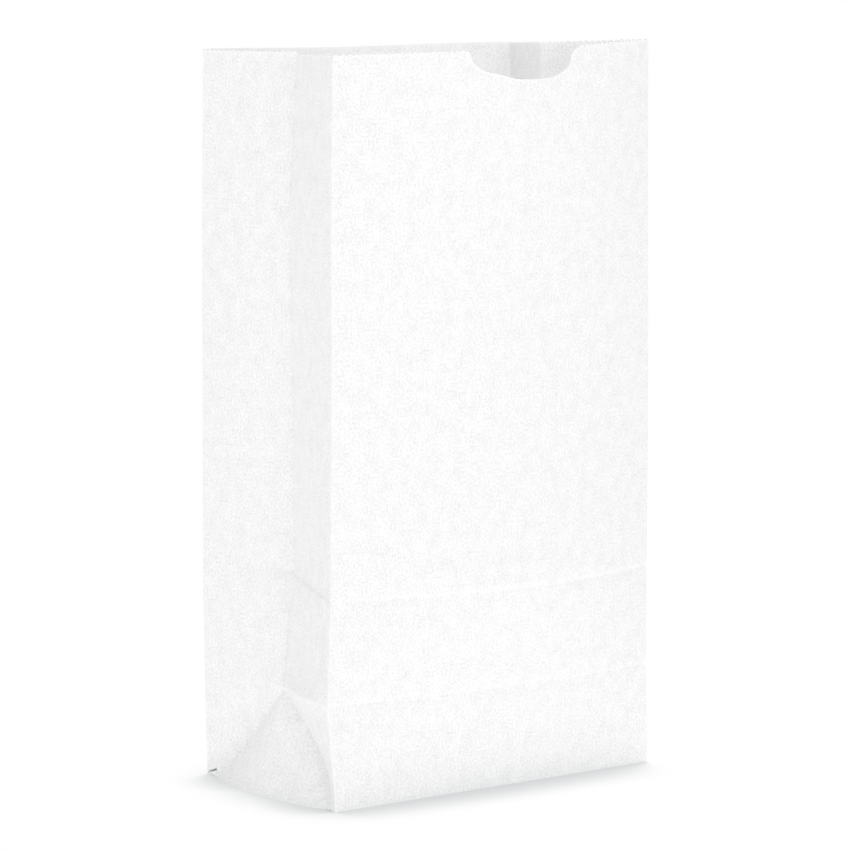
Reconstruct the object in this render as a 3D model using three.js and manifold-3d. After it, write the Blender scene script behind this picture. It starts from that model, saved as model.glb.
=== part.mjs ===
// A small paper grocery bag standing open: one sheet, folded into a gusseted tube with a flat base.
// Millimetres. +Z is up, the front panel faces -Y, and the origin is the centre of the base.
import * as THREE from "three";
import { mergeVertices } from "three/addons/utils/BufferGeometryUtils.js";
import Module from "manifold-3d";

// Sheet
const panelWidth = 107.5; // front and back panels, along the sheet
const gussetWidth = 61.2; // each side, along the sheet, folded in half at its centre crease
const bagHeight = 200; // base to the tips of the cut edge
const paperThickness = 0.1;

// Creases left by the flat pack: the base was folded up against the front
const lowerCrease = 28.4; // level where the corner triangles of each side meet at their apex
const upperCrease = 56;
const creaseStep = 2.5; // the centre crease of a side jogs sideways within this rise

// Cut edge at the mouth
const toothPitch = 1.7;
const toothHeight = 0.7;
const rimBand = 6; // plain strip below the teeth, where the columns divide into teeth

// Thumb notch in the front panel
const notchWidth = 35.2;
const notchDepth = 8.4;
const notchSquareness = 3.2; // exponent of the superellipse: 2 is a half ellipse, more is squarer
const notchSkew = 0.08; // the right-hand shoulder is cut a little deeper than the left

// Glued laps
const seamWidth = 12; // the tube's lengthwise lap, a second thickness outside the back panel
const seamOffset = 18; // from the middle of the back panel to the middle of the lap
const seamStep = 0.4; // run over which the sheet climbs onto the lap
const flapReach = 40; // the outer base flap, from the front edge to its free edge
const pocketReach = 26; // the folded-in side triangle inside the base, from the side to its point

// Facets
const panelColumns = 16;
const gussetColumns = 6; // in each half of a side, and rows up to the lower crease
const middleRows = 3;
const bodyRows = 7;
const notchPoints = 40;

const halfWidth = panelWidth / 2;
const halfGusset = gussetWidth / 2;
const valleyLevel = bagHeight - toothHeight;
const bodyStart = upperCrease + creaseStep;

// A level part of the way up the plain body of the bag.
const bodyLevel = (share) => bodyStart + (bagHeight - bodyStart) * share;

// The open bag, level by level. A corner is how far it leans off the base rectangle, [x, y, z].
// A tuck is how far a side's centre crease stands in from the line of its corners, and a bow is
// how far the middle of a panel stands out from the line of its corners.
const stations = [
  {
    level: 0,
    frontLeft: [0, 0, 0],
    frontRight: [0, 0, 0],
    backRight: [0, 0, 0],
    backLeft: [0, 0, 0],
    leftTuck: -4,
    rightTuck: -4,
    frontBow: 0,
    backBow: 0,
  },
  {
    level: lowerCrease,
    frontLeft: [-1.5, 1.5, 0],
    frontRight: [-2, -1.5, 0],
    backRight: [-1, -2.5, 0],
    backLeft: [0, 0.5, 0],
    leftTuck: 5.5,
    rightTuck: 5.5,
    frontBow: 5.5,
    backBow: 5,
  },
  {
    level: upperCrease,
    frontLeft: [0, 2, 0],
    frontRight: [-2, -1.5, 0],
    backRight: [-1.5, -2.5, 0],
    backLeft: [-0.5, 0, 0],
    leftTuck: 7,
    rightTuck: 5,
    frontBow: 9.5,
    backBow: 5.5,
  },
  {
    level: bodyStart,
    frontLeft: [0, 2.2, 0],
    frontRight: [-2, -1.5, 0],
    backRight: [-1.5, -2.5, 0],
    backLeft: [-0.5, 0, 0],
    leftTuck: 9.5,
    rightTuck: 7,
    frontBow: 9.5,
    backBow: 5.5,
  },
  {
    level: bodyLevel(0.36),
    frontLeft: [0.7, 2.6, 0],
    frontRight: [-1.6, -1, 0],
    backRight: [-2, -2, 0],
    backLeft: [-0.5, 0, 0],
    leftTuck: 9,
    rightTuck: 7.5,
    frontBow: 9.6,
    backBow: 7.5,
  },
  {
    level: bodyLevel(0.68),
    frontLeft: [1.2, 3, 0],
    frontRight: [-1.4, -0.3, 0.5],
    backRight: [-3.5, -3, -0.2],
    backLeft: [0, 0.6, 0],
    leftTuck: 8.2,
    rightTuck: 9.5,
    frontBow: 10.2,
    backBow: 11.5,
  },
  {
    level: bagHeight,
    frontLeft: [2.6, 4, -0.5],
    frontRight: [-0.8, 1, 1.5],
    backRight: [-6.5, -6, -0.3],
    backLeft: [0.6, 0.5, -0.1],
    leftTuck: 10.3,
    rightTuck: 15,
    frontBow: 12.5,
    backBow: 16,
  },
];

const cornerSigns = {
  frontLeft: [-1, -1],
  frontRight: [1, -1],
  backRight: [1, 1],
  backLeft: [-1, 1],
};
const shapeKeys = Object.keys(cornerSigns);
const stationValues = (station) => [
  ...shapeKeys.flatMap((key) => station[key]),
  station.leftTuck,
  station.rightTuck,
  station.frontBow,
  station.backBow,
];

// An interpolant through some stations, straight between folds or smooth along the body.
function interpolantThrough(Kind, group) {
  const levels = group.map((station) => station.level);
  const values = group.flatMap(stationValues);
  return new Kind(levels, values, values.length / levels.length);
}

const foldedStations = stations.filter((station) => station.level <= bodyStart);
const bodyStations = stations.filter((station) => station.level >= bodyStart);
const foldedShape = interpolantThrough(THREE.LinearInterpolant, foldedStations);
const bodyShape = interpolantThrough(THREE.CubicInterpolant, bodyStations);

// The four corners of the bag at a level, with its tucks and bows.
function sectionAt(level) {
  const shape = level <= bodyStart ? foldedShape : bodyShape;
  const values = [...shape.evaluate(level)];
  const section = {};
  shapeKeys.forEach((key, i) => {
    const [signX, signY] = cornerSigns[key];
    const [x, y, z] = values.slice(3 * i, 3 * i + 3);
    section[key] = new THREE.Vector3(signX * halfWidth + x, signY * halfGusset + y, level + z);
  });
  [section.leftTuck, section.rightTuck, section.frontBow, section.backBow] = values.slice(-4);
  return section;
}

// The unit vector, level with the ground, that points out of the bag across a stretch of wall.
function outwardAcross(from, to) {
  return new THREE.Vector3(to.y - from.y, from.x - to.x, 0).normalize();
}

// A point on a bowed panel. The sheet keeps its length, so where it leans out it also drops.
function panelPoint(from, to, bow, share, level) {
  const lean = bow * 4 * share * (1 - share);
  const point = new THREE.Vector3().lerpVectors(from, to, share);
  point.addScaledVector(outwardAcross(from, to), lean);
  point.z -= (lean * lean) / (2 * Math.max(level, lowerCrease));
  return point;
}

// The centre crease of a side, tucked in from the line of its two corners.
function creasePoint(from, to, tuck) {
  const point = new THREE.Vector3().lerpVectors(from, to, 0.5);
  return point.addScaledVector(outwardAcross(from, to), -tuck);
}

// A point of a side above its apex: two flat halves that meet at the crease.
function foldedSidePoint(from, to, tuck, share) {
  const crease = creasePoint(from, to, tuck);
  return share <= 0.5
    ? from.clone().lerp(crease, 2 * share)
    : crease.lerp(to, 2 * share - 1);
}

// A point of a side below its apex. The middle triangle is a cone from the apex down to the
// bulged base edge, and the triangle beside each corner is flat.
function cornerTrianglePoint(side, share, level) {
  const rise = level / lowerCrease;
  const across = 2 * share - 1;
  const [baseFrom, baseTo] = side.corners.map((key) => sectionAt(0)[key]);
  const top = sectionAt(lowerCrease);
  const apex = creasePoint(...side.corners.map((key) => top[key]), top[side.tuck]);
  if (Math.abs(across) <= 1 - rise && rise < 1) {
    const baseShare = (across / (1 - rise) + 1) / 2;
    const bulge = -sectionAt(0)[side.tuck];
    return panelPoint(baseFrom, baseTo, bulge, baseShare, 0).setZ(0).lerp(apex, rise);
  }
  const first = across < 0;
  const corner = sectionAt(level)[side.corners[first ? 0 : 1]];
  const leg = (first ? baseFrom : baseTo).clone().lerp(apex, rise);
  return leg.lerp(corner, (Math.abs(across) - (1 - rise)) / rise);
}

const frontPanel = { corners: ["frontLeft", "frontRight"], bow: "frontBow" };
const rightSide = { corners: ["frontRight", "backRight"], tuck: "rightTuck" };
const backPanel = { corners: ["backRight", "backLeft"], bow: "backBow" };
const leftSide = { corners: ["backLeft", "frontLeft"], tuck: "leftTuck" };

// A point of the outer face of the sheet, at a share of the way across one wall.
function wallPoint(wall, share, level) {
  const section = sectionAt(level);
  const [from, to] = wall.corners.map((key) => section[key]);
  if (wall.bow) return panelPoint(from, to, section[wall.bow], share, level);
  if (level < lowerCrease) return cornerTrianglePoint(wall, share, level);
  return foldedSidePoint(from, to, section[wall.tuck], share);
}

// Equal columns of facets across a stretch of wall, each with the number of teeth cut along its top.
function columnsAcross(wall, width, count, from = 0, to = 1) {
  const step = (to - from) / count;
  const teeth = Math.max(1, Math.round((step * width) / toothPitch));
  return Array.from({ length: count }, (_, i) => ({ wall, share: from + i * step, step, width, teeth }));
}

// The back panel's columns, with a narrow one where the sheet climbs each edge of the lap.
function backColumns() {
  const middle = panelWidth / 2 + seamOffset;
  const edges = [-1, 1].flatMap((side) => {
    const edge = middle + (side * seamWidth) / 2;
    return [edge - seamStep / 2, edge + seamStep / 2];
  });
  const stops = [0, ...edges.map((edge) => edge / panelWidth), 1];
  return stops.slice(1).flatMap((stop, i) => {
    const count = Math.max(1, Math.round(panelColumns * (stop - stops[i])));
    return columnsAcross(backPanel, panelWidth, count, stops[i], stop);
  });
}

// How far the lap lifts the outer face at a place across a wall.
function lapLift({ wall, share }) {
  const fromMiddle = Math.abs((share - 0.5) * panelWidth - seamOffset);
  return wall === backPanel && fromMiddle < seamWidth / 2 ? paperThickness : 0;
}

const columns = [
  ...columnsAcross(frontPanel, panelWidth, panelColumns),
  ...columnsAcross(rightSide, gussetWidth, 2 * gussetColumns),
  ...backColumns(),
  ...columnsAcross(leftSide, gussetWidth, 2 * gussetColumns),
];

// Evenly spaced levels after one level and up to another.
function levelsAfter(from, to, count) {
  return Array.from({ length: count }, (_, i) => from + ((to - from) * (i + 1)) / count);
}

const rowLevels = [
  0,
  ...levelsAfter(0, lowerCrease, gussetColumns),
  ...levelsAfter(lowerCrease, upperCrease, middleRows),
  bodyStart,
  ...levelsAfter(bodyStart, bagHeight - rimBand, bodyRows),
];

// A closed ring of points, each moved out of the bag by its own distance and mitred at corners.
function offsetRing(ring, distances) {
  return ring.map((point, i) => {
    const before = outwardAcross(ring.at(i - 1), point);
    const after = outwardAcross(point, ring[(i + 1) % ring.length]);
    const middle = before.clone().add(after).normalize();
    return point.clone().addScaledVector(middle, distances[i] / middle.dot(after));
  });
}

// One face of the sheet as points and triangles: rows of quads, the fan up to the valleys of the
// cut edge, and the teeth. It also returns the points along the cut edge, in order.
function sheetFace(liftAt) {
  const ringAt = (level, nodes) => {
    const ring = nodes.map(({ wall, share, rise = 0 }) => wallPoint(wall, share, level + rise));
    return offsetRing(ring, nodes.map(liftAt));
  };
  const points = rowLevels.flatMap((level) => ringAt(level, columns));
  const triangles = [];
  const count = columns.length;
  for (let row = 0; row + 1 < rowLevels.length; row++) {
    for (let i = 0; i < count; i++) {
      const next = (i + 1) % count;
      const [a, b] = [row * count + i, row * count + next];
      const [c, d] = [b + count, a + count];
      const { wall, share } = columns[i];
      const risesToApex = wall.tuck !== undefined && share < 0.5;
      triangles.push(...(risesToApex ? [a, b, c, a, c, d] : [a, b, d, b, c, d]));
    }
  }

  const valleys = columns.flatMap(({ wall, share, step, width, teeth }) =>
    columnsAcross(wall, width, teeth, share, share + step),
  );
  const tips = valleys.map(({ wall, share, step, width }) => {
    const rise = toothHeight * Math.min(1, (step * width) / toothPitch);
    return { wall, share: share + step / 2, rise };
  });
  const firstValley = points.length;
  points.push(...ringAt(valleyLevel, valleys));
  const firstTip = points.length;
  points.push(...ringAt(valleyLevel, tips));

  let valley = 0;
  const lastRow = (rowLevels.length - 1) * count;
  for (let i = 0; i < count; i++) {
    const [left, right] = [lastRow + i, lastRow + ((i + 1) % count)];
    const { teeth } = columns[i];
    const middle = Math.ceil(teeth / 2);
    for (let k = 0; k < teeth; k++, valley++) {
      const [a, b] = [firstValley + valley, firstValley + ((valley + 1) % valleys.length)];
      triangles.push(k < middle ? left : right, b, a);
      if (k === middle - 1) triangles.push(left, right, b);
      triangles.push(a, b, firstTip + valley);
    }
  }
  const edge = valleys.flatMap((_, k) => [firstValley + k, firstTip + k]);
  return { points, triangles, edge };
}

// The whole shell: outer and inner faces, the cut edge between them, and a closed base.
function shellGeometry() {
  const outer = sheetFace(lapLift);
  const inner = sheetFace(() => -paperThickness);
  const baseThickness = 2 * paperThickness;
  for (let i = 0; i < columns.length; i++) inner.points[i].z = baseThickness;
  const shift = outer.points.length;
  const triangles = [...outer.triangles];
  for (let i = 0; i < inner.triangles.length; i += 3) {
    const [a, b, c] = inner.triangles.slice(i, i + 3);
    triangles.push(shift + a, shift + c, shift + b);
  }
  outer.edge.forEach((a, i) => {
    const b = outer.edge[(i + 1) % outer.edge.length];
    triangles.push(a, b, shift + b, a, shift + b, shift + a);
  });
  const ring = outer.points.slice(0, columns.length);
  const flatRing = ring.map((point) => new THREE.Vector2(point.x, point.y));
  for (const [a, b, c] of THREE.ShapeUtils.triangulateShape(flatRing, [])) {
    triangles.push(a, c, b, shift + a, shift + b, shift + c);
  }
  const geometry = new THREE.BufferGeometry();
  const coordinates = [...outer.points, ...inner.points].flatMap((point) => point.toArray());
  geometry.setAttribute("position", new THREE.Float32BufferAttribute(coordinates, 3));
  geometry.setIndex(triangles);
  return geometry;
}

// A flat shape, drawn in plan, as a slab between two heights.
function slab(outline, bottom, top) {
  const geometry = new THREE.ExtrudeGeometry(new THREE.Shape(outline), {
    depth: top - bottom,
    bevelEnabled: false,
  });
  return geometry.translate(0, 0, bottom);
}

// The folded-in triangles of the two sides, two layers thick, on the inside of the base.
function pocketGeometries() {
  const sunk = paperThickness / 2;
  const edgeGap = 2 * paperThickness;
  const [bottom, top] = [2 * paperThickness - sunk, 4 * paperThickness];
  return [-1, 1].map((side) => {
    const edge = side * (halfWidth - edgeGap);
    const reach = halfGusset - edgeGap;
    const outline = [
      new THREE.Vector2(edge, -reach),
      new THREE.Vector2(edge - side * pocketReach, 0),
      new THREE.Vector2(edge, reach),
    ];
    return slab(side < 0 ? outline : outline.reverse(), bottom, top);
  });
}

// What is open under the back flap, which lies one thickness above the outer flap.
function flapStepGeometry() {
  const clear = panelWidth;
  const edge = flapReach - halfGusset;
  const outline = [
    new THREE.Vector2(-clear, edge),
    new THREE.Vector2(clear, edge),
    new THREE.Vector2(clear, clear),
    new THREE.Vector2(-clear, clear),
  ];
  return slab(outline, -1, paperThickness);
}

// The thumb notch, as a block that passes through the front panel at the mouth.
function notchGeometry() {
  const halfNotch = notchWidth / 2;
  const clear = 10;
  const outline = [new THREE.Vector2(-halfNotch, clear)];
  for (let i = 0; i <= notchPoints; i++) {
    const across = -Math.cos((Math.PI * i) / notchPoints);
    const round = 1 - Math.abs(across) ** notchSquareness;
    const depth = notchDepth * (1 + notchSkew * across) * round ** (1 / notchSquareness);
    outline.push(new THREE.Vector2(across * halfNotch, -depth));
  }
  outline.push(new THREE.Vector2(halfNotch, clear));
  const section = sectionAt(bagHeight);
  const middle = wallPoint(frontPanel, 0.5, bagHeight);
  const along = Math.atan2(section.frontRight.y - section.frontLeft.y, section.frontRight.x - section.frontLeft.x);
  const geometry = new THREE.ExtrudeGeometry(new THREE.Shape(outline), {
    depth: halfGusset,
    bevelEnabled: false,
  });
  geometry.translate(0, 0, -halfGusset / 2).rotateX(Math.PI / 2).rotateZ(along);
  return geometry.translate(middle.x, middle.y, middle.z);
}

const wasm = await Module();
wasm.setup();

// A closed geometry as a solid that can be joined and cut.
function solidOf(geometry) {
  for (const name of ["normal", "uv"]) geometry.deleteAttribute(name);
  const merged = mergeVertices(geometry, 1e-4);
  return new wasm.Manifold(
    new wasm.Mesh({
      numProp: 3,
      vertProperties: merged.attributes.position.array,
      triVerts: new Uint32Array(merged.index.array),
    }),
  );
}

// A solid as a geometry again.
function geometryOf(solid) {
  const mesh = solid.getMesh();
  const geometry = new THREE.BufferGeometry();
  geometry.setAttribute("position", new THREE.BufferAttribute(mesh.vertProperties, 3));
  geometry.setIndex(new THREE.BufferAttribute(mesh.triVerts, 1));
  return geometry;
}

// The folded bag: the shell with its folded-in pockets added, and its flap step and notch cut.
function bagGeometry() {
  let bag = solidOf(shellGeometry());
  for (const pocket of pocketGeometries()) bag = bag.add(solidOf(pocket));
  for (const cut of [flapStepGeometry(), notchGeometry()]) bag = bag.subtract(solidOf(cut));
  return geometryOf(bag);
}

const bag = new THREE.Mesh(
  bagGeometry(),
  new THREE.MeshStandardMaterial({ color: 0xf2f2f0, roughness: 0.9, metalness: 0 }),
);
bag.name = "bag";

const part = new THREE.Group();
part.add(bag);
export default part;
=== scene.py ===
"""A small white paper grocery bag, standing open on a pale studio floor.

The bag is one folded sheet. Its form is worked out in millimetres as places on the flat sheet: how
far along its width, and how far above or below the crease round the base. A mesh takes metres.
"""

import logging
import math
from dataclasses import dataclass, field
from enum import Enum
from typing import Callable, Iterable

import bmesh
import bpy
import numpy as np
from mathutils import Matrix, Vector, noise

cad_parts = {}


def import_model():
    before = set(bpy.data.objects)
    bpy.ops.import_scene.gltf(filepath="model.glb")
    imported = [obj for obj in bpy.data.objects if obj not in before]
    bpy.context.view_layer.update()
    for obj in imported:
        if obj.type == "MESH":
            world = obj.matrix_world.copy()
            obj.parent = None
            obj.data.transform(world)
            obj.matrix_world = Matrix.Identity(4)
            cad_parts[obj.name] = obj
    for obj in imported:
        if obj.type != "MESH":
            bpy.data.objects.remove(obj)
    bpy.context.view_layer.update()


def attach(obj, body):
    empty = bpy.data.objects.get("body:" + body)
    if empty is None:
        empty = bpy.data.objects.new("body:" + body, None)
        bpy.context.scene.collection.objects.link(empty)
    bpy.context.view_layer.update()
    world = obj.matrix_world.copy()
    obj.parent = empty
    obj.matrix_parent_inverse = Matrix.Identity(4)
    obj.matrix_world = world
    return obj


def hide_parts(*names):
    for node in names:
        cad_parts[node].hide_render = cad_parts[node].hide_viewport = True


LOG = logging.getLogger("paper_bag")
MM = 0.001
SHEET_MAP = 400.0
TOLERANCE = 1e-6
ROUNDING = 1e-4
LOWER_CREASE = 28.4
UPPER_CREASE = 56.0


class Corner(Enum):
    """The four upright corners of the bag, as signs of X and Y."""

    FRONT_LEFT = (-1, -1)
    FRONT_RIGHT = (1, -1)
    BACK_RIGHT = (1, 1)
    BACK_LEFT = (-1, 1)


class Kind(Enum):
    """What a wall of the bag is."""

    PANEL = "panel"
    SIDE = "side"


class Depth(Enum):
    """How far in or out the middle of a wall stands, in the order of a station's last values."""

    LEFT_TUCK = "left tuck"
    RIGHT_TUCK = "right tuck"
    FRONT_BOW = "front bow"
    BACK_BOW = "back bow"


class NoisePlace(Enum):
    """Fixed places in the noise, so that each unevenness has a pattern of its own."""

    CREASE = (1.7, 4.4)
    TEETH = (0.4, 8.1)
    NOTCH = (2.2, 5.0)


@dataclass(frozen=True)
class Station:
    """The open bag at one level, in millimetres.

    A corner's value is how far it leans off the base rectangle. A tuck is how far a side's centre
    crease stands in, and a bow is how far the middle of a panel stands out.
    """

    level: float
    front_left: tuple[float, float, float]
    front_right: tuple[float, float, float]
    back_right: tuple[float, float, float]
    back_left: tuple[float, float, float]
    left_tuck: float
    right_tuck: float
    front_bow: float
    back_bow: float

    def values(self) -> list[float]:
        """The station as one row of numbers, corners first.

        Returns:
            Three numbers a corner, then the tucks and the bows.
        """
        corners = (self.front_left, self.front_right, self.back_right, self.back_left)
        flat = [value for corner in corners for value in corner]
        return flat + [self.left_tuck, self.right_tuck, self.front_bow, self.back_bow]


@dataclass
class Section:
    """The corners, tucks and bows of the bag at one level."""

    corners: dict[Corner, Vector]
    depths: dict[Depth, float]


@dataclass(frozen=True)
class Wall:
    """One wall of the bag, as a stretch of the sheet's width."""

    kind: Kind
    first: Corner
    second: Corner
    start: float
    width: float
    depth: Depth

    def holds(self, along: float) -> bool:
        """Whether a place on the sheet lies on this wall."""
        return self.start - TOLERANCE <= along <= self.start + self.width + TOLERANCE


@dataclass(frozen=True)
class StepFold:
    """The fold across a side at the upper crease, placed by the share of the way to a corner."""

    crease: float = UPPER_CREASE
    centre_level: float = 59.1
    corner_rise: float = 0.7
    corner_drop: float = 0.7
    drop_start: float = 0.88
    centre_thickness: float = 0.3
    corner_thickness: float = 0.43
    lip_height: float = 0.45
    lip_fade: float = 3.0
    dip_depth: float = 1.2
    dip_fade: float = 0.35
    hold_centre: float = 0.35
    hold_growth: float = 0.8
    end_fades: tuple[float, float] = (0.04, 0.03)
    reach: float = 16.0

    def span(self, off: float) -> tuple[float, float]:
        """Where the fold begins and ends up the side, at a share of the way from its centre.

        Args:
            off: the share of the way from the centre crease to a corner.

        Returns:
            The fold's lower and upper level, in millimetres.
        """
        low = self.centre_level + (self.crease + self.corner_rise - self.centre_level) * off
        low -= self.corner_drop * max(0.0, off - self.drop_start) / (1 - self.drop_start)
        thickness = self.centre_thickness + (self.corner_thickness - self.centre_thickness) * off
        return low, low + thickness

    def proud(self, off: float, level: float) -> float:
        """How far the paper stands proud above the fold's front half, or in below it.

        Args:
            off: the share of the way from the centre crease to the front corner.
            level: height above the base.

        Returns:
            The distance off the side, in millimetres.
        """
        if off <= 0 or abs(level - self.crease) > self.reach:
            return 0.0
        low, high = self.span(off)
        hold = min(1.0, self.hold_centre + self.hold_growth * off)
        hold *= min(1.0, off / self.end_fades[0]) * min(1.0, (1 - off) / self.end_fades[1])
        if level >= high:
            return hold * self.lip_height * math.exp(-(level - high) / self.lip_fade)
        if level <= low:
            return -hold * self.dip_depth * math.exp(-(low - level) / self.dip_fade)
        share = (level - low) / (high - low)
        return hold * (self.lip_height * share - self.dip_depth * (1 - share))


@dataclass(frozen=True)
class CornerGap:
    """The small open gap over the foot of the back left corner, placed from that corner."""

    reach: float = 3.9
    foot: float = 0.4
    climb: float = 0.38
    half_height: float = 0.34
    depth: float = 2.2
    corner_share: float = 0.25
    end_fade: float = 0.5

    def middle(self, distance: float) -> float:
        """The height of the gap's middle at a distance from the corner."""
        return self.foot + self.climb * distance

    def depth_at(self, distance: float, level: float) -> float:
        """How far the paper is folded in at a place beside the corner.

        Args:
            distance: the place across the side, from the corner.
            level: height above the base.

        Returns:
            The depth, in millimetres.
        """
        share = max(0.0, 1 - abs(level - self.middle(distance)) / self.half_height)
        ends = min(1.0, self.corner_share + distance)
        return self.depth * share * ends * min(1.0, (self.reach - distance) / self.end_fade)


@dataclass(frozen=True)
class LegGroove:
    """The groove beside a slanting crease, deepest near the apex."""

    depth: float = 2.2
    width: float = 0.42
    foot_share: float = 0.08
    fade: float = 0.22

    def depth_at(self, off: float, rise: float) -> float:
        """How deep it is, at a distance from the crease and a share of the apex's height.

        Args:
            off: the distance from the crease, along the row.
            rise: the height, as a share of the apex's.

        Returns:
            The depth, in millimetres.
        """
        along = self.foot_share + math.exp(-(1 - rise) / self.fade)
        across = off / self.width * math.exp(1 - off / self.width)
        return self.depth * across * along * min(1.0, 4 * (1 - rise)) ** 0.5


@dataclass(frozen=True)
class CentreLine:
    """The fine, uneven line pressed into a side's centre crease."""

    depth: float = 0.9
    width: float = 0.3
    body_share: float = 0.45
    evenness: tuple[float, float] = (0.55, 0.9)
    patch: float = 2.3

    def depth_at(self, off: float, level: float, body: bool) -> float:
        """How deep it is at a distance from the crease, below the body or on it.

        Args:
            off: the distance from the crease.
            level: height above the base.
            body: whether the place lies above the fold across the side.

        Returns:
            The depth, in millimetres.
        """
        if off > 1:
            return 0.0
        mean, swing = self.evenness
        place = Vector((level / self.patch, *NoisePlace.CREASE.value))
        uneven = mean + swing * noise.noise(place)
        pressed = self.body_share if body else 1.0
        return self.depth * pressed * max(0.1, uneven) * math.exp(-((off / self.width) ** 2))


@dataclass(frozen=True)
class PanelCrease:
    """A level crease that the flat pack pressed into the front panel."""

    level: float
    depth: float
    pinch: float = 0.0
    pinch_reach: float = 0.05
    fade_above: float = 0.9
    fade_below: float = 2.2
    end_share: float = 0.25

    def depth_at(self, share: float, level: float) -> float:
        """How deep it is, at a share of the way across the panel and a level.

        Args:
            share: the share of the way across the panel.
            level: height above the base.

        Returns:
            The depth, in millimetres.
        """
        off = level - self.level
        ends = min(1.0, 12 * share * (1 - share) + self.end_share)
        pinch = 1 + self.pinch * math.exp(-(1 - share) / self.pinch_reach)
        fade = off / self.fade_above if off > 0 else -off / self.fade_below
        return self.depth * pinch * ends * math.exp(-fade)


@dataclass
class BagForm:
    """The form of the open bag: where every place on the flat sheet stands.

    Lengths are in millimetres. An ear is the part of a side's foot between its corner and the start
    of the slanting crease. A bow is how far a wall stands out between its folds, and the foot's
    edge, slope and settling say how a side's foot climbs over the flaps' ends at its corners.
    """

    panel_width: float = 107.5
    gusset_width: float = 61.2
    height: float = 200.0
    thickness: float = 0.1
    lower_crease: float = LOWER_CREASE
    upper_crease: float = UPPER_CREASE
    crease_step: float = 2.5
    tooth_pitch: float = 1.7
    tooth_height: float = 0.7
    seam_width: float = 12.0
    seam_offset: float = 18.0
    seam_rise: float = 0.4
    flap_reach: float = 40.0
    layer_gap: float = 0.11
    ear_width: float = 4.25
    ear_sag: float = 1.0
    ear_power: float = 4.5
    side_bow: float = 1.2
    front_half_bow: float = 0.35
    back_dip: float = 0.75
    soft_fold: float = 9.0
    foot_edge: tuple[float, float] = (2.0, 6.0)
    foot_slope: float = 0.15
    foot_settle: float = 0.92
    gusset_radius: float = 0.9
    gusset_growth: float = 8.0
    apex_share: float = 0.999
    tuck_reach: float = 1.15
    facet_ridge: float = 1.5
    facet_fades: tuple[float, float] = (4.0, 9.0)
    facet_reach: float = 20.0
    fold_radius: float = 0.34
    wave_height: float = 0.22
    wave_length: float = 34.0
    wave_stretch: float = 1.6
    wave_detail: tuple[float, float] = (0.35, 2.6)
    wave_foot: float = 12.0
    wave_hold: float = 0.75
    step: StepFold = StepFold()
    gap: CornerGap = CornerGap()
    leg_groove: LegGroove = LegGroove()
    centre_line: CentreLine = CentreLine()
    panel_creases: tuple[PanelCrease, ...] = (
        PanelCrease(UPPER_CREASE, 0.62),
        PanelCrease(LOWER_CREASE, 0.45, pinch=0.9),
    )
    stations: list[Station] = field(default_factory=list)
    walls: list[Wall] = field(init=False)

    def __post_init__(self) -> None:
        """Works out the walls along the sheet and the curves through the stations."""
        self.body_start = self.upper_crease + self.crease_step
        self.half_width = self.panel_width / 2
        self.half_gusset = self.gusset_width / 2
        front_start = self.gusset_width
        right_start = front_start + self.panel_width
        back_start = right_start + self.gusset_width
        c, panel, side = Corner, self.panel_width, self.gusset_width
        self.walls = [
            Wall(Kind.PANEL, c.BACK_RIGHT, c.BACK_LEFT, -panel, panel, Depth.BACK_BOW),
            Wall(Kind.SIDE, c.BACK_LEFT, c.FRONT_LEFT, 0.0, side, Depth.LEFT_TUCK),
            Wall(Kind.PANEL, c.FRONT_LEFT, c.FRONT_RIGHT, front_start, panel, Depth.FRONT_BOW),
            Wall(Kind.SIDE, c.FRONT_RIGHT, c.BACK_RIGHT, right_start, side, Depth.RIGHT_TUCK),
            Wall(Kind.PANEL, c.BACK_RIGHT, c.BACK_LEFT, back_start, panel, Depth.BACK_BOW),
        ]
        self.lap_start = self.half_width + self.seam_offset - self.seam_width / 2 - self.panel_width
        self.lap_end = back_start + self.half_width + self.seam_offset + self.seam_width / 2
        self.climb_end = self.lap_end - self.seam_width
        self.levels = np.array([s.level for s in self.stations])
        self.rows = np.array([s.values() for s in self.stations])
        body = self.levels >= self.body_start - TOLERANCE
        self.body_levels, self.body_rows = self.levels[body], self.rows[body]
        self.body_slopes = np.gradient(self.body_rows, self.body_levels, axis=0)
        self._sections: dict[float, Section] = {}
        self.front, self.left, self.right = self.walls[2], self.walls[1], self.walls[3]

    def station_values(self, level: float) -> np.ndarray:
        """The stations' values at a level: straight between folds, smooth along the body.

        Args:
            level: height above the base along the sheet.

        Returns:
            One row of numbers in the order of Station.values.
        """
        level = min(max(level, 0.0), self.height)
        if level <= self.body_start:
            return np.array([np.interp(level, self.levels, column) for column in self.rows.T])
        i = min(np.searchsorted(self.body_levels, level, side="right") - 1, len(self.body_levels) - 2)
        low, high = self.body_levels[i], self.body_levels[i + 1]
        run = high - low
        t = (level - low) / run
        start, end = self.body_rows[i], self.body_rows[i + 1]
        slope_in, slope_out = self.body_slopes[i] * run, self.body_slopes[i + 1] * run
        smooth = t * t * (3 - 2 * t)
        return (
            start * (1 - smooth)
            + end * smooth
            + slope_in * t * (1 - t) ** 2
            - slope_out * t * t * (1 - t)
        )

    def section(self, level: float) -> Section:
        """The section of the bag at a level, kept once it is worked out.

        Args:
            level: height above the base.

        Returns:
            The corners, tucks and bows there.
        """
        key = round(level, 5)
        if key not in self._sections:
            values = self.station_values(level)
            corners = {}
            for i, corner in enumerate(Corner):
                lean = values[3 * i : 3 * i + 3]
                x, y = corner.value[0] * self.half_width, corner.value[1] * self.half_gusset
                corners[corner] = Vector((x + lean[0], y + lean[1], max(level, 0.0) + lean[2]))
            depths = dict(zip(Depth, (float(value) for value in values[12:])))
            self._sections[key] = Section(corners, depths)
        return self._sections[key]

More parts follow.
